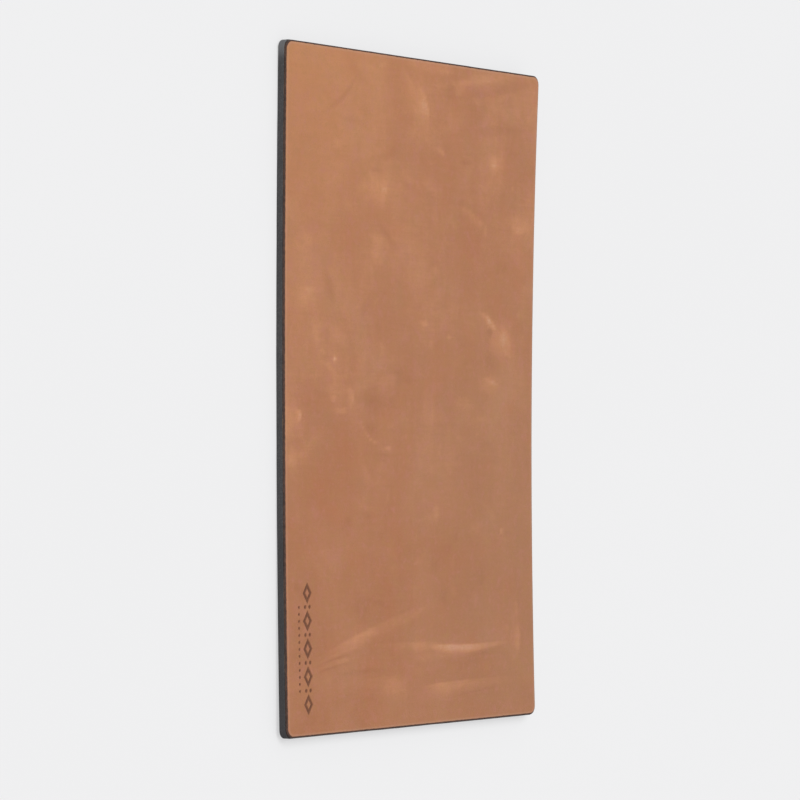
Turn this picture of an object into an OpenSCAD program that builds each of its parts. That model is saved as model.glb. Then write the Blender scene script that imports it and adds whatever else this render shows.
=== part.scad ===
// Bench strop pad: a leather face glued to a dense, flexible backing pad.
// The pad lies flat, leather up. Its length runs along Y, and its origin is the middle of its underside.

/* [Pad] */
// Length of the pad, along Y
pad_length = 300; // [220:5:400]
// Width of the pad, along X
pad_width = 200; // [140:5:260]
// Radius of the backing's four corners, seen from above
corner_radius = 3.5; // [3:0.5:20]

/* [Layers] */
// Thickness of the backing pad
backing_thickness = 3.2; // [2:0.1:8]
// Thickness of the glue film
glue_thickness = 0.1; // [0.05:0.05:0.3]
// Thickness of the leather
leather_thickness = 1.2; // [1:0.1:3]

/* [Edges] */
// Radius of the leather's rounded upper rim
rim_radius = 0.5; // [0.2:0.1:0.8]
// How far the leather and the glue stop short of the backing's side
leather_inset = 0.2; // [0.1:0.1:1]
// How much rounder the leather's corners are than the backing's
corner_easing = 1; // [0:0.5:3]

/* [Stamped mark] */
// Depth that the mark is pressed into the leather
mark_depth = 0.25; // [0.1:0.05:0.5]
// Distance from the side of the pad to the middle of the row of lozenges
mark_edge_distance = 16; // [12:0.5:30]
// Distance from the end of the pad to the first lozenge's middle
mark_end_distance = 14; // [12:0.5:40]
// Length of one lozenge, along the pad
lozenge_length = 9; // [5:0.5:10]
// Width of one lozenge, across the pad
lozenge_width = 6.5; // [3:0.5:8]
// Number of lozenges in the row
lozenge_count = 5; // [2:1:8]
// Distance from one lozenge's middle to the next
lozenge_pitch = 12; // [11:0.5:14]

/* [Hidden] */

// A true circle, and an eight-sided stamp point
ROUND = 64;
OCTAGON = 8;
// How far a cut runs past the surface that it starts from
CUT_PAST = 1;
// Heights of the two joints between the layers
glue_z = backing_thickness;
leather_z = glue_z + glue_thickness;
// Outline of the leather and of the glue
face_length = pad_length - 2 * leather_inset;
face_width = pad_width - 2 * leather_inset;
face_radius = corner_radius - leather_inset + corner_easing;
// Place of the first lozenge's middle
mark_x = mark_edge_distance - pad_width / 2;
mark_y = mark_end_distance - pad_length / 2;
// Each lozenge has a raised, uncut lozenge left in its middle
lozenge_core = 0.45;
// Points of the stamp: two studs stand between lozenges, and a shorter row of beads runs beside them
stud_diameter = 1.6;
stud_side_step = lozenge_width / 4;
bead_diameter = 1.2;
beads_per_lozenge = 4;
bead_pitch = lozenge_pitch / beads_per_lozenge;
bead_row_distance = lozenge_width / 2 + 3;
first_bead = beads_per_lozenge / 2;
last_bead = beads_per_lozenge * (lozenge_count - 1) - first_bead;

module rounded_outline(length, width, radius) {
    square([width - 2 * radius, length], center = true);
    square([width, length - 2 * radius], center = true);
    for (x = [-1, 1], y = [-1, 1]) {
        translate([x * (width / 2 - radius), y * (length / 2 - radius)])
            circle(r = radius, $fn = ROUND);
    }
}

module plate(length, width, radius, thickness) {
    linear_extrude(thickness) rounded_outline(length, width, radius);
}

// A round rod along Y that makes a rim. Its top is at z = 0, and its outer side is at x = 0, towards +X.
module rim_rod(length, rim) {
    translate([-rim, length / 2, -rim])
        rotate([90, 0, 0])
            cylinder(r = rim, h = length, $fn = ROUND);
}

// A plate whose upper edge is rounded off all the way round
module rimmed_plate(length, width, radius, thickness, rim) {
    plate(length, width, radius, thickness - rim);
    plate(length - 2 * rim, width - 2 * rim, radius - rim, thickness);
    for (side = [0, 180]) {
        rotate([0, 0, side]) {
            translate([width / 2, 0, thickness]) rim_rod(length - 2 * radius, rim);
            rotate([0, 0, 90])
                translate([length / 2, 0, thickness]) rim_rod(width - 2 * radius, rim);
        }
    }
    for (x = [-1, 1], y = [-1, 1]) {
        translate([x * (width / 2 - radius), y * (length / 2 - radius), thickness - rim])
            rotate_extrude($fn = ROUND)
                translate([radius - rim, 0]) circle(r = rim, $fn = ROUND);
    }
}

module lozenge(scale_by) {
    half_width = scale_by * lozenge_width / 2;
    half_length = scale_by * lozenge_length / 2;
    polygon([[half_width, 0], [0, half_length], [-half_width, 0], [0, -half_length]]);
}

module stamp_point(diameter) {
    circle(d = diameter, $fn = OCTAGON);
}

// The mark as seen from above. Its first lozenge is at the origin, and the row runs towards +Y.
module mark_outline() {
    for (i = [0 : lozenge_count - 1]) {
        translate([0, i * lozenge_pitch]) {
            difference() {
                lozenge(1);
                lozenge(lozenge_core);
            }
        }
    }
    for (i = [0 : lozenge_count - 2], side = [-1, 1]) {
        translate([side * stud_side_step, (i + 0.5) * lozenge_pitch]) stamp_point(stud_diameter);
    }
    for (i = [first_bead : last_bead]) {
        translate([-bead_row_distance, i * bead_pitch]) stamp_point(bead_diameter);
    }
}

module backing_pad() {
    color("#444243") plate(pad_length, pad_width, corner_radius, backing_thickness);
}

module glue_film() {
    color("#c9b27c")
        translate([0, 0, glue_z])
            plate(face_length, face_width, face_radius, glue_thickness);
}

module leather_face() {
    color("#b67f60") {
        difference() {
            translate([0, 0, leather_z])
                rimmed_plate(face_length, face_width, face_radius, leather_thickness, rim_radius);
            translate([mark_x, mark_y, leather_z + leather_thickness - mark_depth])
                linear_extrude(mark_depth + CUT_PAST) mark_outline();
        }
    }
}

backing_pad();
glue_film();
leather_face();
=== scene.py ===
"""A bench strop pad: a curled leather face, its glue film and its charcoal backing pad, on a pale floor."""

import math

import bpy
import numpy as np
from mathutils import Matrix, Vector, noise


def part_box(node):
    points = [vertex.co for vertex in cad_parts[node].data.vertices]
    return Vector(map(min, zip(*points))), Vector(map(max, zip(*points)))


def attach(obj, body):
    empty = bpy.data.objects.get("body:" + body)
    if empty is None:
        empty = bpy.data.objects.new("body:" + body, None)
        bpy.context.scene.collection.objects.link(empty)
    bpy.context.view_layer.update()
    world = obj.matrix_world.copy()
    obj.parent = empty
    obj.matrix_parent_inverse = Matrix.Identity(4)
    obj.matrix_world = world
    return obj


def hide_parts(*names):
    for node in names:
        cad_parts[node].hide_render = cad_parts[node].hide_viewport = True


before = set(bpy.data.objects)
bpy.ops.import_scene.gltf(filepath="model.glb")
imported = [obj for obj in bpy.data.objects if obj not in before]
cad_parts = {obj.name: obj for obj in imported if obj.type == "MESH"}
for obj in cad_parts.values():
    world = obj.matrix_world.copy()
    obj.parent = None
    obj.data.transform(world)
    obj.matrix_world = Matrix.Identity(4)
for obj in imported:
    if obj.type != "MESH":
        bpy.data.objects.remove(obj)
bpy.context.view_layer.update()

MM = 0.001

# ---------------------------------------------------------------- the frame's sizes

BACKING_LOW, BACKING_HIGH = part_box("backing_pad")
GLUE_LOW, GLUE_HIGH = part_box("glue_film")
LEATHER_LOW, LEATHER_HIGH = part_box("leather_face")
HALF_WIDTH = BACKING_HIGH.x
HALF_LENGTH = BACKING_HIGH.y

# Corner radii seen from above, as the CAD model has them
BACKING_CORNER = 3.5 * MM
LEATHER_CORNER = 4.3 * MM

# The stamped mark, as the CAD model has it: a row of hollow lozenges with studs between, and a row of beads
MARK_X = LEATHER_LOW.x + 15.8 * MM
MARK_Y = LEATHER_LOW.y + 13.8 * MM
MARK_DEPTH = 0.25 * MM
LOZENGE_COUNT = 5
LOZENGE_PITCH = 12 * MM
LOZENGE_HALF_WIDTH = 3.25 * MM
LOZENGE_HALF_LENGTH = 4.5 * MM
LOZENGE_CORE = 0.45
STUD_RADIUS = 0.8 * MM
STUD_STEP = LOZENGE_HALF_WIDTH / 2
BEAD_RADIUS = 0.6 * MM
BEAD_PITCH = LOZENGE_PITCH / 4
BEAD_ROW = -LOZENGE_HALF_WIDTH - 3 * MM
FIRST_BEAD, LAST_BEAD = 2, 14

# How the pad curls at rest: its two ends rise, more on the side away from the mark, and it twists a little
END_RISE = 2.13 * MM
END_RISE_ACROSS = 0.77 * MM
TWIST = 0.78 * MM
REST_LIFT = 0.12 * MM


def curl(x, y):
    """How far the resting pad stands above where it would lie flat."""
    across, along = x / HALF_WIDTH, y / HALF_LENGTH
    return REST_LIFT + (END_RISE + END_RISE_ACROSS * across) * along**2 + TWIST * across * along


# ---------------------------------------------------------------- numbers


def smooth(low, high, value):
    """0 below low, 1 above high, and a soft S between."""
    t = np.clip((value - low) / (high - low), 0, 1)
    return t * t * (3 - 2 * t)


def steps(low, high, step):
    """Even values from low to high, no further apart than step."""
    return np.linspace(low, high, math.ceil((high - low) / step) + 1)


def graded(low, high, step, fine_low, fine_high, fine_step):
    """As steps, but finer from fine_low to fine_high."""
    before = steps(low, fine_low, step)[:-1]
    after = steps(fine_high, high, step)[1:]
    return np.concatenate([before, steps(fine_low, fine_high, fine_step), after])


def ripple(x, y, size, seed):
    """Smooth noise from -1 to 1, with lumps of about that size."""
    points = np.column_stack([x / size, y / size])
    return np.array([noise.noise(Vector((px, py, seed))) for px, py in points])


# ---------------------------------------------------------------- laminae

# How many steps a rounded corner has
CORNER_TURNS = 8


def rim_stations(xs, ys):
    """The outline's points, anticlockwise: each one's column and row in the grid, and its way outwards."""
    last_x, last_y = len(xs) - 1, len(ys) - 1
    sides = (
        [(last_x, j) for j in range(last_y + 1)],
        [(i, last_y) for i in range(last_x, -1, -1)],
        [(0, j) for j in range(last_y, -1, -1)],
        [(i, 0) for i in range(last_x + 1)],
    )
    stations = []
    for quarter, side in enumerate(sides):
        start = quarter * math.pi / 2
        stations += [(i, j, math.cos(start), math.sin(start)) for i, j in side]
        for k in range(1, CORNER_TURNS):
            angle = start + math.pi / 2 * k / CORNER_TURNS
            stations.append((*side[-1], math.cos(angle), math.sin(angle)))
    return stations


def lamina_faces(stations, count_x, count_y, ring_count):
    """The faces over a lamina's grid, round its rings, and over its hidden side."""

    def cell(i, j):
        return i * count_y + j

    faces = [
        (cell(i, j), cell(i + 1, j), cell(i + 1, j + 1), cell(i, j + 1))
        for i in range(count_x - 1)
        for j in range(count_y - 1)
    ]
    count = len(stations)
    rings = [[cell(i, j) for i, j, _, _ in stations]]
    for k in range(ring_count):
        first = count_x * count_y + k * count
        rings.append(list(range(first, first + count)))
    for lower, upper in zip(rings, rings[1:]):
        for k in range(count):
            after = (k + 1) % count
            quad = (lower[k], upper[k], upper[after], lower[after])
            faces.append(tuple(dict.fromkeys(quad)))

    # The hidden side: strips from the right side's points to the left side's, and one face at each end
    hidden = rings[-1]
    right_end = count_y - 1
    left_start = right_end + count_x - 1 + 2 * CORNER_TURNS
    left_end = left_start + count_y - 1
    for j in range(right_end):
        faces.append((hidden[j], hidden[left_end - j], hidden[left_end - 1 - j], hidden[j + 1]))
    faces.append(tuple(hidden[right_end : left_start + 1])[::-1])
    faces.append(tuple(hidden[left_end:] + hidden[:1])[::-1])
    return faces


def lamina(name, half_x, half_y, corner, grids, profile, wobble, relief=None):
    """A closed rounded plate that follows the pad's curl. Its face is a grid. profile lists each ring's inset
    and height, from the grid's own edge round the rim to the hidden side. wobble is how far the outline strays
    at x, y. relief is how far the face is raised at x, y, distance from the edge, height.

    It returns the object, and for each point its x, y, distance from the edge, and how much of it faces the
    pad's ends rather than its sides."""
    xs, ys = grids
    stations = rim_stations(xs, ys)
    station = np.array(stations)
    base_x, base_y = xs[station[:, 0].astype(int)], ys[station[:, 1].astype(int)]
    out_x, out_y = station[:, 2], station[:, 3]

    grid_x, grid_y = (a.ravel() for a in np.meshgrid(xs, ys, indexing="ij"))
    columns = [grid_x]
    rows = [grid_y]
    heights = [np.full(grid_x.size, profile[0][1])]
    insets = [np.full(grid_x.size, corner)]
    stray = wobble(base_x + corner * out_x, base_y + corner * out_y)
    for inset, height in profile[1:]:
        reach = corner - inset
        reach = reach + stray * reach / corner
        columns.append(base_x + reach * out_x)
        rows.append(base_y + reach * out_y)
        heights.append(np.full(base_x.size, height))
        insets.append(np.full(base_x.size, inset))
    x, y, z, inset = (np.concatenate(a) for a in (columns, rows, heights, insets))
    face = np.minimum(half_x - np.abs(x), half_y - np.abs(y))
    from_edge = np.where(np.arange(x.size) < grid_x.size, face, inset)
    end_share = np.concatenate([np.zeros(grid_x.size)] + [out_y**2] * (len(profile) - 1))
    if relief:
        z = z + relief(x, y, from_edge, z)
    z = z + curl(x, y)
    faces = lamina_faces(stations, len(xs), len(ys), len(profile) - 1)

    mesh = bpy.data.meshes.new(name)
    mesh.from_pydata(np.column_stack([x, y, z]).tolist(), [], faces)
    if profile[0][1] < profile[-1][1]:
        mesh.flip_normals()
    mesh.shade_smooth()
    mesh.validate()
    piece = bpy.data.objects.new(name, mesh)
    bpy.context.scene.collection.objects.link(piece)
    return piece, (x, y, from_edge, end_share)


def point_values(piece, name, values):
    """Stores one number at each point, for the material to read."""
    layer = piece.data.attributes.new(name, "FLOAT", "POINT")
    layer.data.foreach_set("value", np.asarray(values, np.float32))


def arc(centre_inset, centre_height, radius, start, end, count):
    """Rings round a rounded edge: start and end are angles from straight up, turning outwards, in degrees."""
    return [
        (centre_inset - radius * math.sin(angle), centre_height + radius * math.cos(angle))
        for angle in np.radians(np.linspace(start, end, count))
    ]


# ---------------------------------------------------------------- the stamped mark


def mark_inside(x, y):
    """How far inside the mark's outline each point lies, in metres, and negative outside it."""
    inside = np.full(x.size, -1.0)
    slant = LOZENGE_HALF_WIDTH * LOZENGE_HALF_LENGTH / math.hypot(LOZENGE_HALF_WIDTH, LOZENGE_HALF_LENGTH)
    for i in range(LOZENGE_COUNT):
        middle = MARK_Y + i * LOZENGE_PITCH
        share = np.abs(x - MARK_X) / LOZENGE_HALF_WIDTH + np.abs(y - middle) / LOZENGE_HALF_LENGTH
        ring = np.minimum(1 - share, share - LOZENGE_CORE) * slant
        inside = np.maximum(inside, ring)
    studs = [
        (MARK_X + side * STUD_STEP, MARK_Y + (i + 0.5) * LOZENGE_PITCH, STUD_RADIUS)
        for i in range(LOZENGE_COUNT - 1)
        for side in (-1, 1)
    ]
    beads = [
        (MARK_X + BEAD_ROW, MARK_Y + i * BEAD_PITCH, BEAD_RADIUS)
        for i in range(FIRST_BEAD, LAST_BEAD + 1)
    ]
    for cx, cy, radius in studs + beads:
        inside = np.maximum(inside, radius - np.hypot(x - cx, y - cy))
    return inside


# ---------------------------------------------------------------- rubbed and scuffed places

# Places rubbed pale, in millimetres from the pad's middle. Each runs from one point to another: x, y, x, y.
# Then come how far its middle bows to the left of the way it runs, how far it fades on its left and on its
# right, its strength, and how far along it is strongest.
RUBS = (
    (0, -113, 78, -114.5, -1.7, 1.0, 3.2, 1.10, 0.45),
    (-36, -112, 24, -114, 0.0, 1.2, 3.6, 0.42, 0.80),
    (-10, -116, 62, -119, -1.0, 2.0, 4.5, 0.22, 0.30),
    (-84, -119, 16, -95, 1.5, 1.4, 4.5, 0.48, 0.45),
    (-82, -120, -36, -111, 1.2, 0.7, 1.6, 0.42, 0.50),
    (-80, -122, -46, -117, 0.8, 0.6, 1.2, 0.32, 0.50),
    (-22, -106, 12, -95, -0.5, 1.2, 2.2, 0.35, 0.60),
    (-78, -120, -44, -117, 0.5, 0.8, 0.8, 0.25, 0.50),
    (-36, -129, 0, -130, 0.0, 3.2, 7.5, 0.46, 0.50),
    (-56, -128, -6, -126.5, 0.0, 0.7, 4.5, 0.32, 0.70),
    (2, -132.5, 90, -131.5, 0.6, 0.7, 5.0, 0.60, 0.25),
    (8, -134, 44, -134, 0.4, 0.7, 3.0, 0.25, 0.40),
    (84, -92, 85, -108, 1.2, 1.0, 4.0, 0.48, 0.50),
    (86, -103, 86, -121, 0.8, 1.2, 5.0, 0.74, 0.62),
    (81, -108, 80, -119, -0.8, 1.6, 1.0, 0.34, 0.40),
    (75, -106, 78, -110, 0.0, 1.8, 1.8, 0.28, 0.50),
    (90, -77, 90, -89, 0.0, 0.8, 0.8, 0.25, 0.50),
    (52, 38, 70, 28, 1.6, 1.2, 2.4, 0.85, 0.66),
    (69, 34, 81, 17, 3.0, 1.6, 11.0, 0.66, 0.45),
    (68, 24, 82, 17, -1.0, 4.0, 0.8, 0.45, 0.65),
    (54, 8, 72, 3, 0.8, 0.8, 2.8, 0.75, 0.62),
    (3, 32, 12, 31, -0.6, 1.0, 1.0, 0.60, 0.50),
    (26, 26, 30, 25, 0.0, 1.1, 1.1, 0.50, 0.50),
    (30, -5, 52, -3, -1.0, 3.5, 5.0, 0.30, 0.40),
    (44, -14, 62, -12, 1.0, 1.8, 1.8, 0.28, 0.60),
    (-2, -8, 28, -12, 0.0, 5.0, 5.0, 0.20, 0.50),
    (-31, 96, -29, 83, 6.5, 1.2, 8.5, 0.54, 0.50),
    (-26, 70, -25, 60, 4.0, 0.8, 2.5, 0.30, 0.50),
    (-29, 68, -29, 63, 0.5, 1.8, 1.8, 0.30, 0.50),
    (-6, 141, 9, 119, 5.0, 1.0, 11.0, 0.60, 0.60),
    (-16, 146, 10, 116, 4.0, 1.0, 9.0, 0.42, 0.60),
    (-14, 148, 34, 146, 1.0, 4.0, 4.0, 0.30, 0.50),
    (13, 111, 23, 107, 0.5, 1.8, 0.8, 0.55, 0.75),
    (58, 107, 71, 106, 0.0, 4.0, 4.0, 0.42, 0.50),
    (28, 85, 57, 77, 2.5, 0.9, 5.0, 0.42, 0.80),
    (57, 79, 58, 69, 0.5, 0.7, 2.0, 0.25, 0.30),
    (28, 84, 33, 74, -1.0, 2.5, 2.5, 0.20, 0.50),
    (74, 79, 98, 81, -4.5, 6.5, 0.8, 0.46, 0.60),
    (-98, -8, -96, -18, 9.0, 1.0, 9.0, 0.78, 0.50),
    (-98, -25, -90, -38, 0.0, 4.0, 4.0, 0.28, 0.50),
    (-55, 3, -53, -10, 5.5, 0.8, 4.0, 0.45, 0.50),
    (-68, -8, -50, -9, -0.5, 1.2, 1.2, 0.35, 0.60),
    (-67, -4, -60, -4, 0.0, 1.8, 1.8, 0.45, 0.50),
    (-43, -11, -28, -23, -3.5, 0.6, 0.6, 0.55, 0.75),
    (-25, -25, -18, -26, 0.0, 0.9, 0.9, 0.60, 0.60),
    (-87, 42, -75, 41, 1.0, 2.0, 2.0, 0.42, 0.45),
    (-80, 30, -75, 17, 1.0, 2.2, 2.2, 0.28, 0.50),
    (-74, 18, -68, 15, 0.0, 1.0, 1.0, 0.28, 0.60),
    (-56, 84, -48, 79, -1.0, 2.6, 2.6, 0.30, 0.60),
    (-65, 109, -58, 107, 0.0, 2.0, 2.0, 0.30, 0.50),
    (17, -48, 18, -59, 0.0, 2.4, 2.4, 0.30, 0.60),
    (31, -72, 31, -82, 0.0, 1.8, 1.8, 0.25, 0.50),
    (29, -85, 33, -94, 0.0, 2.4, 2.4, 0.30, 0.50),
    (56, -50, 69, -60, 0.5, 2.4, 2.4, 0.25, 0.50),
    (8, 138, 82, 149, -1.0, 2.5, 0.9, 0.30, 0.50),
    (-86, -22, -80, -30, 0.0, 20.0, 20.0, 0.12, 0.50),
    (-88, -70, -84, -80, 0.0, 16.0, 16.0, 0.08, 0.50),
    (-6, -126, 8, -126, 0.0, 14.0, 14.0, 0.10, 0.50),
)
# Places that are darker than the rest, each given as a rub is
STAINS = (
    (99, -30, 99.4, -143, 0.0, 1.2, 1.2, 0.35, 0.60),
    (66, 112, 98, 108, 0.0, 24.0, 24.0, 0.12, 0.50),
    (-60, 30, 10, 26, 0.0, 20.0, 20.0, 0.10, 0.50),
    (-46, 126, -34, 124, 0.0, 16.0, 16.0, 0.07, 0.50),
    (-46, 141, -73, 121, 3.2, 1.2, 1.2, 0.50, 0.55),
    (-60, 119, -40, 117, 0.5, 1.6, 1.6, 0.28, 0.50),
    (-32, 104, -10, 106, 1.0, 3.2, 3.2, 0.35, 0.50),
    (-38, 98, -25, 97, 0.5, 0.9, 0.9, 0.35, 0.50),
    (34, 135, 96, 146, -1.0, 4.0, 1.5, 0.30, 0.60),
    (48, 121, 95, 124, 1.0, 1.0, 3.5, 0.25, 0.50),
    (34, 105, 47, 106, 0.0, 1.2, 1.2, 0.30, 0.40),
    (-72, 54, -64, 36, 1.5, 2.8, 2.8, 0.35, 0.60),
    (-46, -3, -16, -5, 0.0, 5.0, 5.0, 0.35, 0.45),
    (-17, 8, -8, 5, 0.0, 3.2, 3.2, 0.32, 0.50),
    (-40, -15, -29, -18, 0.0, 2.8, 2.8, 0.28, 0.50),
    (59, 29, 65, 28, 0.0, 1.8, 1.8, 0.50, 0.70),
    (57, 17, 70, 13, 0.0, 3.2, 3.2, 0.28, 0.50),
    (-80, -120.6, -44, -115, 1.0, 0.5, 0.5, 0.24, 0.50),
    (-80, -123.4, -48, -119.4, 0.8, 0.6, 0.6, 0.24, 0.40),
    (-64, -125, -20, -124, 1.2, 1.2, 1.2, 0.26, 0.50),
    (44, -118.4, 76, -115.6, -0.8, 0.7, 2.0, 0.38, 0.50),
    (28, -138, 74, -134, -0.3, 0.6, 0.6, 0.32, 0.50),
    (14, -121, 82, -120, 0.5, 1.5, 4.0, 0.25, 0.55),
    (75, -64, 82, -65, 0.0, 1.0, 1.0, 0.35, 0.30),
    (-46, -87, -40, -104, -1.0, 5.5, 5.5, 0.28, 0.50),
    (20, -87, 26, -98, 0.0, 3.5, 3.5, 0.25, 0.50),
    (54, -78, 56, -90, 0.0, 2.2, 2.2, 0.28, 0.60),
)
# Pale spots and nicks, in millimetres: x, y, half width, half length, strength
SPOTS = (
    (-62.5, 13.5, 1.2, 1.3, 1.0),
    (72.5, -63.5, 1.2, 1.2, 0.9),
    (-64.0, 92.0, 0.8, 0.8, 0.3),
    (52.0, -19.0, 1.0, 1.0, 0.4),
    (80.0, 96.0, 1.3, 1.3, 0.3),
    (-30.0, 90.0, 8.5, 8.0, 0.44),
    (-27.5, 87.5, 4.5, 5.5, 0.42),
    (72.0, 26.0, 9.0, 8.0, 0.42),
    (86.0, 79.5, 11.0, 5.0, 0.26),
    (1.0, 129.0, 8.0, 10.0, 0.24),
    (66.0, 106.0, 6.0, 5.0, 0.26),
    (-98.0, -13.0, 10.5, 8.0, 0.46),
    (-62.0, -1.0, 9.0, 7.0, 0.18),
    (-84.0, 40.0, 8.0, 5.0, 0.24),
    (84.0, -108.0, 5.0, 13.0, 0.30),
    (-30.0, 64.0, 5.0, 5.0, 0.20),
    (62.0, 5.5, 9.0, 3.2, 0.26),
)
# Fainter rubs at random, pale and dark ones alike, and how far from the pad's middle their own middles may be
FAINT_RUBS = 150
FAINT_SEED = 11
FAINT_REACH_X, FAINT_REACH_Y = 98, 148
# How steeply a rub and a spot fade at their sides, and how many points a rub's curve has
RUB_FALL = 2.6
SPOT_FALL = 3
CURVE_POINTS = 25


def stroke(x, y, rub):
    """How strongly one rub shows at each point, from 0 to its strength."""
    start, end = np.array(rub[0:2]), np.array(rub[2:4])
    bow, left, right, strength, peak = rub[4:]
    along = end - start
    side = np.array([-along[1], along[0]]) / np.hypot(*along)
    bend = (start + end) / 2 + 2 * bow * side
    reach = max(left, right) * 3 + abs(bow)
    low, high = np.minimum(start, end) - reach, np.maximum(start, end) + reach
    near = np.nonzero((x > low[0]) & (x < high[0]) & (y > low[1]) & (y < high[1]))[0]
    t = np.linspace(0, 1, CURVE_POINTS)[:, None]
    line = (1 - t) ** 2 * start + 2 * t * (1 - t) * bend + t**2 * end
    best = np.full(near.size, np.inf)
    where = np.zeros(near.size)
    fade = np.ones(near.size)
    for k in range(CURVE_POINTS - 1):
        step = line[k + 1] - line[k]
        px, py = x[near] - line[k, 0], y[near] - line[k, 1]
        share = np.clip((px * step[0] + py * step[1]) / (step @ step), 0, 1)
        distance = np.hypot(px - share * step[0], py - share * step[1])
        closer = distance < best
        best[closer] = distance[closer]
        where[closer] = (k + share[closer]) / (CURVE_POINTS - 1)
        fade[closer] = np.where(step[0] * py - step[1] * px > 0, left, right)[closer]
    ends = np.where(where < peak, where / peak, (1 - where) / (1 - peak))
    taper = smooth(-0.2, 0.9, ends)
    half_width = fade * (0.4 + 0.6 * taper)
    value = np.zeros(x.size)
    value[near] = strength * taper * np.exp(-((best / half_width) ** RUB_FALL))
    return value


def tones(x, y):
    """The leather's tone at each point: above 0 where it is rubbed pale, below 0 where it is dark."""
    mm_x, mm_y = x / MM, y / MM
    random = np.random.default_rng(FAINT_SEED)
    tone = np.zeros(x.size)
    for rub in RUBS:
        tone = np.maximum(tone, stroke(mm_x, mm_y, rub))
    for cx, cy, half_width, half_length, pale in SPOTS:
        away = np.hypot((mm_x - cx) / half_width, (mm_y - cy) / half_length)
        tone = np.maximum(tone, pale * np.exp(-(away**SPOT_FALL)))
    for stain in STAINS:
        tone = tone - stroke(mm_x, mm_y, stain)
    for _ in range(FAINT_RUBS):
        cx = random.uniform(-FAINT_REACH_X, FAINT_REACH_X)
        cy = random.uniform(-FAINT_REACH_Y, FAINT_REACH_Y)
        length = random.uniform(4, 26)
        angle = random.normal(0, 0.5)
        dx, dy = length / 2 * math.cos(angle), length / 2 * math.sin(angle)
        bow = random.uniform(-0.25, 0.25) * length
        left, right = random.uniform(0.6, 4.0, 2)
        strength = random.uniform(-0.22, 0.26)
        faint = (cx - dx, cy - dy, cx + dx, cy + dy, bow, left, right, strength, 0.5)
        tone = tone + stroke(mm_x, mm_y, faint)
    return tone


# ---------------------------------------------------------------- pieces

# How far the dark of the burnished rim reaches in: at the leather's marked and plain sides, and at its marked
# and plain ends
MARKED_SIDE_BURN, PLAIN_SIDE_BURN = 0.28 * MM, 0.42 * MM
MARKED_END_BURN, PLAIN_END_BURN = 0.80 * MM, 0.71 * MM


def leather_piece():
    """The leather: a fine grid over its face, finer still over the mark, with a rounded, burnished rim."""
    half_x, half_y = LEATHER_HIGH.x, LEATHER_HIGH.y
    top, low = LEATHER_HIGH.z, LEATHER_LOW.z
    margin = 1.2 * MM
    mark_left = MARK_X + BEAD_ROW - BEAD_RADIUS - margin
    mark_right = MARK_X + LOZENGE_HALF_WIDTH + margin
    mark_start = MARK_Y - LOZENGE_HALF_LENGTH - margin
    mark_end = MARK_Y + (LOZENGE_COUNT - 1) * LOZENGE_PITCH + LOZENGE_HALF_LENGTH + margin
    coarse, fine = 1.3 * MM, 0.26 * MM
    reach_x, reach_y = half_x - LEATHER_CORNER, half_y - LEATHER_CORNER
    xs = graded(-reach_x, reach_x, coarse, mark_left, mark_right, fine)
    ys = graded(-reach_y, reach_y, coarse, mark_start, mark_end, fine)
    rim, under = 0.5 * MM, 0.15 * MM
    profile = [(LEATHER_CORNER, top), (3.0 * MM, top), (1.8 * MM, top), (0.9 * MM, top)]
    profile += arc(rim, top - rim, rim, 0, 90, 7)
    profile += [(-0.02 * MM, top - 0.75 * MM)]
    profile += arc(under, low + under, under, 90, 180, 4)

    def relief(x, y, from_edge, z):
        on_face = smooth(0.2 * MM, 3 * MM, from_edge) * (z > top - 0.01 * MM)
        wave = 0.05 * MM * ripple(x, y, 31 * MM, 1.5) + 0.018 * MM * ripple(x, y, 8 * MM, 4.5)
        press = smooth(-0.18 * MM, 0.18 * MM, mark_inside(x, y))
        swell = 0.03 * MM * np.exp(-((mark_inside(x, y) + 0.35 * MM) / (0.3 * MM)) ** 2)
        pale_places = 0.012 * MM * np.clip(tones(x, y), -0.5, 1)
        return on_face * (wave - MARK_DEPTH * press + swell - pale_places)

    def wobble(x, y):
        return 0.07 * MM * ripple(x, y, 26 * MM, 7.5) + 0.03 * MM * ripple(x, y, 5 * MM, 8.5)

    piece, (x, y, from_edge, end_share) = lamina(
        "leather_skin", half_x, half_y, LEATHER_CORNER, (xs, ys), profile, wobble, relief
    )
    point_values(piece, "tone", tones(x, y))
    point_values(piece, "burn", smooth(-0.28 * MM, 0.22 * MM, mark_inside(x, y)))
    point_values(piece, "from_edge", from_edge / MM)
    side_burn = np.where(x < 0, MARKED_SIDE_BURN, PLAIN_SIDE_BURN)
    end_burn = np.where(y < 0, MARKED_END_BURN, PLAIN_END_BURN)
    burnt = side_burn + (end_burn - side_burn) * end_share
    point_values(piece, "char", (burnt - from_edge) / MM)
    return piece


def glue_piece():
    """The glue: a thin film between the other two, whose edge wanders a little."""
    half_x, half_y = GLUE_HIGH.x, GLUE_HIGH.y
    top, low = GLUE_HIGH.z, GLUE_LOW.z
    reach_x, reach_y = half_x - LEATHER_CORNER, half_y - LEATHER_CORNER
    grids = steps(-reach_x, reach_x, 6 * MM), steps(-reach_y, reach_y, 3 * MM)
    bulge = (top - low) / 2
    profile = [(LEATHER_CORNER, top), (2 * MM, top), (0.6 * MM, top)]
    profile += arc(0.12 * MM + bulge, top - bulge, bulge, 0, 180, 6)
    profile += [(0.6 * MM, low)]

    def wobble(x, y):
        return 0.12 * MM * ripple(x, y, 4 * MM, 21.5) + 0.06 * MM * ripple(x, y, 1.7 * MM, 22.5)

    piece, _ = lamina("glue_coat", half_x, half_y, LEATHER_CORNER, grids, profile, wobble)
    return piece


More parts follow.
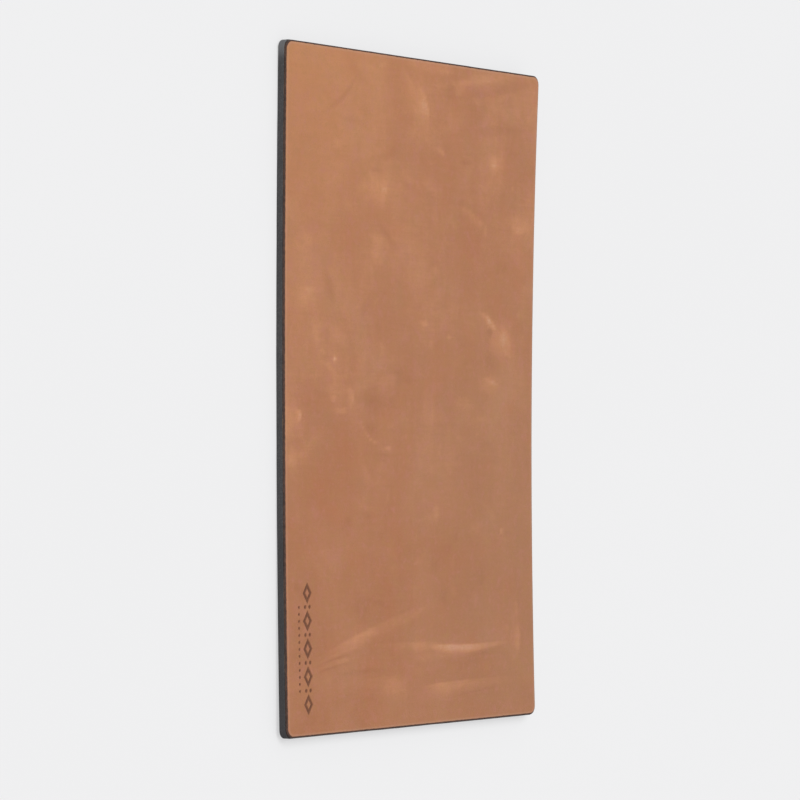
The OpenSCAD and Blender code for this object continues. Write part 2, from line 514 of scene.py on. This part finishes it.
def backing_piece():
    """The backing: its face is the underside, and its cut side bulges and wanders a little."""
    half_x, half_y = HALF_WIDTH, HALF_LENGTH
    low, top = BACKING_LOW.z, BACKING_HIGH.z
    reach_x, reach_y = half_x - BACKING_CORNER, half_y - BACKING_CORNER
    grids = steps(-reach_x, reach_x, 3 * MM), steps(-reach_y, reach_y, 3 * MM)
    foot, lip = 0.35 * MM, 0.25 * MM
    profile = [(BACKING_CORNER, low), (2.2 * MM, low), (1.2 * MM, low), (0.6 * MM, low)]
    profile += [(inset, low + foot - (height - low)) for inset, height in arc(foot, low, foot, 0, 90, 5)]
    profile += [(0.03 * MM, low + share * (top - low)) for share in (0.3, 0.5, 0.7)]
    profile += arc(lip, top - lip, lip, 90, 0, 5)
    profile += [(0.8 * MM, top), (1.8 * MM, top), (3.2 * MM, top)]

    def wobble(x, y):
        return 0.08 * MM * ripple(x, y, 34 * MM, 31.5) + 0.05 * MM * ripple(x, y, 6 * MM, 32.5)

    piece, (_, _, from_edge, _) = lamina(
        "backing_slab", half_x, half_y, BACKING_CORNER, grids, profile, wobble
    )
    point_values(piece, "from_edge", from_edge / MM)
    return piece


# ---------------------------------------------------------------- materials


class Shader:
    """A material's node tree, written as expressions."""

    def __init__(self, name):
        self.material = bpy.data.materials.new(name)
        self.material.use_nodes = True
        self.tree = self.material.node_tree
        self.surface = self.tree.nodes["Principled BSDF"]

    def put(self, socket, value):
        """Sets a socket: a number, place or colour goes in as it is, and a socket is linked."""
        if isinstance(value, bpy.types.NodeSocket):
            self.tree.links.new(value, socket)
        elif socket.type == "RGBA":
            socket.default_value = (*value, 1)
        else:
            socket.default_value = value

    def node(self, kind, output=0, settings=(), **inputs):
        """Adds a node. Its inputs are given by name, with _ for a space, or by place as i0, i1 and so on."""
        made = self.tree.nodes.new(kind)
        for key, value in dict(settings).items():
            setattr(made, key, value)
        for key, value in inputs.items():
            index = int(key[1:]) if key[1:].isdigit() else key.replace("_", " ")
            self.put(made.inputs[index], value)
        return made.outputs[output]

    def place(self, stretch=(1, 1, 1), turn=(0, 0, 0)):
        """Object coordinates in millimetres, stretched and turned."""
        at = self.node("ShaderNodeTexCoord", "Object")
        scale = tuple(s / MM for s in stretch)
        return self.node("ShaderNodeMapping", Vector=at, Rotation=turn, Scale=scale)

    def noise(self, vector, size, detail=2.0, roughness=0.5, distortion=0.0):
        """Noise about 0.5, with lumps of about that size."""
        return self.node(
            "ShaderNodeTexNoise",
            Vector=vector,
            Scale=1 / size,
            Detail=detail,
            Roughness=roughness,
            Distortion=distortion,
        )

    def value(self, name):
        """The number that point_values stored under that name."""
        return self.node("ShaderNodeAttribute", "Fac", {"attribute_name": name})

    def maths(self, operation, first, second, clamp=False):
        settings = {"operation": operation, "use_clamp": clamp}
        return self.node("ShaderNodeMath", 0, settings, i0=first, i1=second)

    def add(self, first, second):
        return self.maths("ADD", first, second)

    def times(self, first, second):
        return self.maths("MULTIPLY", first, second)

    def span(self, value, low, high, to_low=0.0, to_high=1.0):
        """A soft step: to_low below low, and to_high above high."""
        settings = {"interpolation_type": "SMOOTHSTEP"}
        return self.node(
            "ShaderNodeMapRange", 0, settings, i0=value, i1=low, i2=high, i3=to_low, i4=to_high
        )

    def ramp(self, value, *stops):
        """A colour ramp through (place, colour) stops."""
        made = self.tree.nodes.new("ShaderNodeValToRGB")
        elements = made.color_ramp.elements
        while len(elements) < len(stops):
            elements.new(0.5)
        for element, (place, colour) in zip(elements, stops):
            element.position = place
            element.color = (*colour, 1)
        self.put(made.inputs["Fac"], value)
        return made.outputs["Color"]

    def mix(self, share, first, second):
        """A colour that is first where share is 0, and second where it is 1."""
        made = self.tree.nodes.new("ShaderNodeMix")
        made.data_type = "RGBA"
        self.put(made.inputs[0], share)
        self.put(made.inputs[6], first)
        self.put(made.inputs[7], second)
        return made.outputs[2]

    def bump(self, height, distance, strength, below=None):
        """A surface relief, on top of the one below."""
        inputs = {"Height": height, "Distance": distance, "Strength": strength}
        if below is not None:
            inputs["Normal"] = below
        return self.node("ShaderNodeBump", **inputs)

    def finish(self, **inputs):
        """Sets the surface's own sockets, and returns the material."""
        for key, value in inputs.items():
            self.put(self.surface.inputs[key.replace("_", " ")], value)
        return self.material


def srgb(red, green, blue):
    """A colour from its 0 to 255 screen levels."""

    def linear(level):
        share = level / 255
        return share / 12.92 if share <= 0.04045 else ((share + 0.055) / 1.055) ** 2.4

    return tuple(linear(level) for level in (red, green, blue))


def mottled_colour(s, flat, colour):
    """The colour with duller, warmer, rosier and more olive places, from large clouds down to flecks."""
    dull, warm = srgb(160, 122, 92), srgb(182, 110, 74)
    rosy, olive = srgb(184, 121, 108), srgb(168, 122, 76)
    # The places' size, the strength of their colours, and the two colours
    hues = (
        (45, 0.25, dull, warm),
        (16, 0.20, dull, warm),
        (9, 0.30, rosy, olive),
        (3, 0.36, rosy, olive),
        (1.2, 0.24, rosy, olive),
    )
    for size, strength, first, second in hues:
        hue = s.noise(flat, size, 4, 0.6, 0.4)
        colour = s.mix(s.span(hue, 0.50, 0.78, 0, strength), colour, first)
        colour = s.mix(s.span(hue, 0.50, 0.22, 0, strength), colour, second)
    return colour


def tan_colour(s, flat, tone, patches, across):
    """The leather's colour: cloudy, streaked and rubbed. A painted pool of light pales and warms it towards
    the marked side's far corner;
    painted shade darkens it towards the marked end, and makes it darker and cooler towards the plain side's
    near corner."""
    clouds = s.noise(flat, 46, 4, 0.55, 0.5)
    along = s.noise(s.place((1, 0.15, 1), (0, 0, 0.12)), 9, 3, 0.55, 0.8)
    speckle = s.noise(flat, 0.7, 2)
    x = s.node("ShaderNodeSeparateXYZ", 0, Vector=flat)
    y = s.node("ShaderNodeSeparateXYZ", 1, Vector=flat)
    # Painted light and shade: a pale, warm pool of light towards the marked side's far corner, and shade
    # towards the plain side's near corner
    painted_glow = s.times(s.span(x, 60, -110), s.span(y, 10, 170))
    painted_shade = s.times(s.span(x, -60, 100), s.span(y, 120, -40))

    paleness = s.add(0.5, s.times(tone, 0.52))
    paleness = s.add(paleness, s.times(painted_glow, 0.10))
    # Painted shade: darker towards the marked end
    paleness = s.add(paleness, s.span(y, -160, 60, -0.13, 0.02))
    shares = ((clouds, 0.70), (patches, 0.46), (across, 0.17), (along, 0.16), (speckle, 0.13))
    for part, share in shares:
        paleness = s.add(paleness, s.times(s.add(part, -0.5), share))
    colour = s.ramp(
        paleness,
        (0.0, srgb(151, 97, 65)),
        (0.5, srgb(174, 118, 84)),
        (0.8, srgb(195, 136, 98)),
        (1.0, srgb(209, 157, 126)),
    )
    # The painted pool of light at the marked side's far corner, then the painted shade at the plain side's
    # near corner
    colour = s.mix(s.times(painted_glow, 0.60), colour, srgb(190, 130, 85))
    return s.mix(s.times(painted_shade, 0.38), colour, srgb(156, 114, 84))


def burnt_colour(s, flat, colour, burn, burnish):
    """The colour with the mark burnt brown, the rim burnished dark, and a paler line just inside the rim."""
    char = s.add(0.62, s.times(s.noise(flat, 1.1, 3), 0.6))
    colour = s.mix(s.maths("MULTIPLY", burn, char, clamp=True), colour, srgb(104, 66, 48))
    edge = s.value("from_edge")
    halo = s.times(s.span(edge, 0.5, 0.9), s.span(edge, 2.0, 1.0))
    colour = s.mix(s.times(halo, 0.27), colour, srgb(190, 150, 128))
    dark = s.ramp(s.noise(flat, 1.5, 3), (0.3, srgb(56, 43, 40)), (0.7, srgb(84, 63, 55)))
    return s.mix(burnish, colour, dark)


def leather_material():
    """Smooth waxed tan leather: cloudy, finely streaked, rubbed pale in places, with a burnished rim."""
    s = Shader("tan_leather")
    flat = s.place()
    patches = s.noise(flat, 10, 5, 0.6, 0.9)
    across = s.noise(s.place((0.10, 1, 1), (0, 0, -0.08)), 1.8, 3, 0.6, 0.6)
    broken = s.add(0.72, s.times(s.add(across, patches), 0.28))
    tone = s.times(s.value("tone"), broken)
    burn = s.value("burn")
    ragged = s.add(s.value("char"), s.times(s.add(s.noise(flat, 2.2, 3), -0.5), 0.35))
    burnish = s.span(ragged, -0.16, 0.16)
    colour = tan_colour(s, flat, tone, patches, across)
    colour = mottled_colour(s, flat, colour)
    colour = burnt_colour(s, flat, colour, burn, burnish)

    # Pores and creases, which show more in some patches than in others
    pores = s.node("ShaderNodeTexVoronoi", "Distance", Vector=flat, Scale=1.0, Randomness=1.0)
    cells = s.node(
        "ShaderNodeTexVoronoi", "Distance", {"feature": "DISTANCE_TO_EDGE"}, Vector=flat, Scale=1.25
    )
    open_grain = s.span(patches, 0.38, 0.62, 0.35, 1.0)
    pits = s.times(s.span(pores, 0.17, 0.05), open_grain)
    creases = s.times(s.span(cells, 0.14, 0.0), open_grain)
    colour = s.mix(s.times(pits, 0.34), colour, srgb(112, 72, 50))
    colour = s.mix(s.times(creases, 0.13), colour, srgb(124, 82, 58))
    grain = s.bump(creases, -0.06 * MM, 0.7)
    grain = s.bump(pits, -0.09 * MM, 0.7, grain)
    grain = s.bump(s.noise(flat, 0.35, 3), 0.03 * MM, 0.6, grain)
    grain = s.bump(across, 0.05 * MM, 0.5, grain)
    grain = s.bump(patches, 0.35 * MM, 0.5, grain)

    rough = s.add(0.50, s.times(patches, 0.12))
    rough = s.add(rough, s.times(tone, 0.10))
    rough = s.add(rough, s.times(burn, 0.12))
    rough = s.add(rough, s.times(burnish, 0.20))
    return s.finish(Base_Color=colour, Roughness=rough, Normal=grain, Specular_IOR_Level=0.25)


def backing_material():
    """Dense charcoal rubber: matt, finely grained, with faint lines along its cut side and dusty edges. A
    painted highlight pales the rim at the plain end, and painted shade darkens the backing towards the marked
    end.
    """
    s = Shader("charcoal_backing")
    flat = s.place()
    blotch = s.noise(flat, 14, 3, 0.55)
    grain = s.noise(flat, 0.8, 3, 0.6)
    lines = s.noise(s.place((0.05, 0.05, 1)), 0.28, 3, 0.6)
    level = s.add(s.times(blotch, 0.35), s.times(grain, 0.40))
    level = s.add(level, s.times(lines, 0.25))
    colour = s.ramp(level, (0.30, srgb(51, 50, 51)), (0.5, srgb(62, 61, 62)), (0.72, srgb(78, 77, 78)))
    edge = s.value("from_edge")
    worn = s.times(s.span(edge, 0.45, 0.1), s.span(grain, 0.45, 0.75))
    colour = s.mix(s.times(worn, 0.25), colour, srgb(104, 101, 100))
    y = s.node("ShaderNodeSeparateXYZ", 1, Vector=flat)
    # Painted highlight: the rim at the plain end is made paler grey
    pale_places = s.times(s.span(edge, 0.5, 0.15), s.span(y, 140, 147))
    colour = s.mix(s.times(pale_places, 0.45), colour, srgb(122, 122, 124))
    # Painted shade: darker towards the marked end
    colour = s.mix(s.span(y, -20, -90, 0, 0.30), colour, srgb(42, 40, 41))
    weave = s.node(
        "ShaderNodeTexVoronoi", "Distance", {"feature": "F1"}, Vector=flat, Scale=1.1, Randomness=0.35
    )
    height = s.bump(s.noise(flat, 0.3, 2), 0.03 * MM, 0.6)
    height = s.bump(weave, 0.10 * MM, 0.5, height)
    height = s.bump(lines, 0.08 * MM, 0.6, height)
    rough = s.span(grain, 0.2, 0.8, 0.68, 0.88)
    return s.finish(Base_Color=colour, Roughness=rough, Normal=height, Specular_IOR_Level=0.3)


def glue_material():
    """Dried contact glue: an amber, slightly rubbery film with lumps."""
    s = Shader("dried_glue")
    flat = s.place()
    lumps = s.noise(flat, 1.4, 3)
    colour = s.ramp(lumps, (0.3, srgb(112, 84, 52)), (0.7, srgb(158, 124, 82)))
    height = s.bump(lumps, 0.06 * MM, 0.7)
    rough = s.span(s.noise(flat, 5, 2), 0.3, 0.7, 0.35, 0.55)
    return s.finish(Base_Color=colour, Roughness=rough, Normal=height)


FLOOR_GLOW = (0.554, 0.554, 0.558)


def floor_material():
    """Pale matt floor, lit softly from within like a light table."""
    s = Shader("pale_floor")
    shade = s.noise(s.place(), 300, 2)
    colour = s.ramp(shade, (0.3, (0.288, 0.288, 0.291)), (0.7, (0.294, 0.294, 0.297)))
    s.finish(Base_Color=colour, Roughness=0.9, Specular_IOR_Level=0.0)
    return s.finish(Emission_Color=FLOOR_GLOW, Emission_Strength=1.0)


# ---------------------------------------------------------------- stage, light and camera

FLOOR_HALF = 4.0
FLOOR_CELLS = 8

# The sky's strength, and its strength at the horizon. The second turns into the first between two elevations,
# whose sines these are.
SKY_STRENGTH = 0.52
HORIZON_STRENGTH = 0.86
HORIZON_TOP, SKY_BOTTOM = 0.06, 0.12

# Where the sun stands, its strength, and how many degrees across it is
SUN_PLACE = (-0.50, 0.42, 1.0)
SUN_STRENGTH = 2.08
SUN_WIDTH = 34


def make_floor():
    side = steps(-FLOOR_HALF, FLOOR_HALF, 2 * FLOOR_HALF / FLOOR_CELLS)
    count = len(side)
    points = [(x, y, 0.0) for x in side for y in side]
    faces = [
        (i * count + j, (i + 1) * count + j, (i + 1) * count + j + 1, i * count + j + 1)
        for i in range(count - 1)
        for j in range(count - 1)
    ]
    mesh = bpy.data.meshes.new("floor")
    mesh.from_pydata(points, [], faces)
    mesh.materials.append(floor_material())
    floor = bpy.data.objects.new("floor", mesh)
    bpy.context.scene.collection.objects.link(floor)


def aim(thing, place, target, up):
    """Puts a lamp or camera at place, looking at target, with up upwards in its view."""
    back = (place - target).normalized()
    right = up.cross(back).normalized()
    above = back.cross(right)
    turn = Matrix((right, above, back)).transposed()
    thing.matrix_world = Matrix.Translation(place) @ turn.to_4x4()


def make_sun():
    lamp = bpy.data.lights.new("key", "SUN")
    lamp.energy = SUN_STRENGTH
    lamp.angle = math.radians(SUN_WIDTH)
    sun = bpy.data.objects.new("key", lamp)
    bpy.context.scene.collection.objects.link(sun)
    aim(sun, Vector(SUN_PLACE), Vector((0, 0, 0)), Vector((0, 1, 0)))


def make_world():
    """An even white sky, with a low band at the horizon that is as pale as the floor."""
    world = bpy.data.worlds.new("studio")
    world.use_nodes = True
    tree = world.node_tree
    direction = tree.nodes.new("ShaderNodeTexCoord")
    parts = tree.nodes.new("ShaderNodeSeparateXYZ")
    height = tree.nodes.new("ShaderNodeMath")
    height.operation = "ABSOLUTE"
    strength = tree.nodes.new("ShaderNodeMapRange")
    strength.inputs["From Min"].default_value = HORIZON_TOP
    strength.inputs["From Max"].default_value = SKY_BOTTOM
    strength.inputs["To Min"].default_value = HORIZON_STRENGTH
    strength.inputs["To Max"].default_value = SKY_STRENGTH
    background = tree.nodes["Background"]
    background.inputs["Color"].default_value = (1.0, 1.0, 1.0, 1)
    tree.links.new(direction.outputs["Generated"], parts.inputs["Vector"])
    tree.links.new(parts.outputs["Z"], height.inputs[0])
    tree.links.new(height.outputs["Value"], strength.inputs["Value"])
    tree.links.new(strength.outputs["Result"], background.inputs["Strength"])
    bpy.context.scene.world = world


# The camera stands beyond the pad's marked side, and its picture's upward way is the pad's length
CAMERA_PLACE = Vector((-1.4564, -0.0300, 0.9728))
CAMERA_TARGET = Vector((-0.0115, -0.0038, 0.0))
CAMERA_ROLL = math.radians(0.11)
CAMERA_LENS = 175.5


def make_camera():
    data = bpy.data.cameras.new("camera")
    data.lens = CAMERA_LENS
    data.sensor_width = 36
    data.clip_end = 20
    camera = bpy.data.objects.new("camera", data)
    bpy.context.scene.collection.objects.link(camera)
    middle = Vector((0, 0, LEATHER_HIGH.z + REST_LIFT))
    aim(camera, CAMERA_PLACE + middle, CAMERA_TARGET + middle, Vector((0, 1, 0)))
    camera.matrix_world = camera.matrix_world @ Matrix.Rotation(CAMERA_ROLL, 4, "Z")
    bpy.context.scene.camera = camera


# ---------------------------------------------------------------- making it all

make_floor()
make_world()
make_sun()
make_camera()
bpy.context.scene.view_settings.view_transform = "Standard"

leather = leather_piece()
leather.data.materials.append(leather_material())
glue = glue_piece()
glue.data.materials.append(glue_material())
backing = backing_piece()
backing.data.materials.append(backing_material())

for piece, node, slot in (
    (leather, "leather_face", "leather"),
    (glue, "glue_film", "glue"),
    (backing, "backing_pad", "backing"),
):
    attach(piece, "root")
    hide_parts(node)
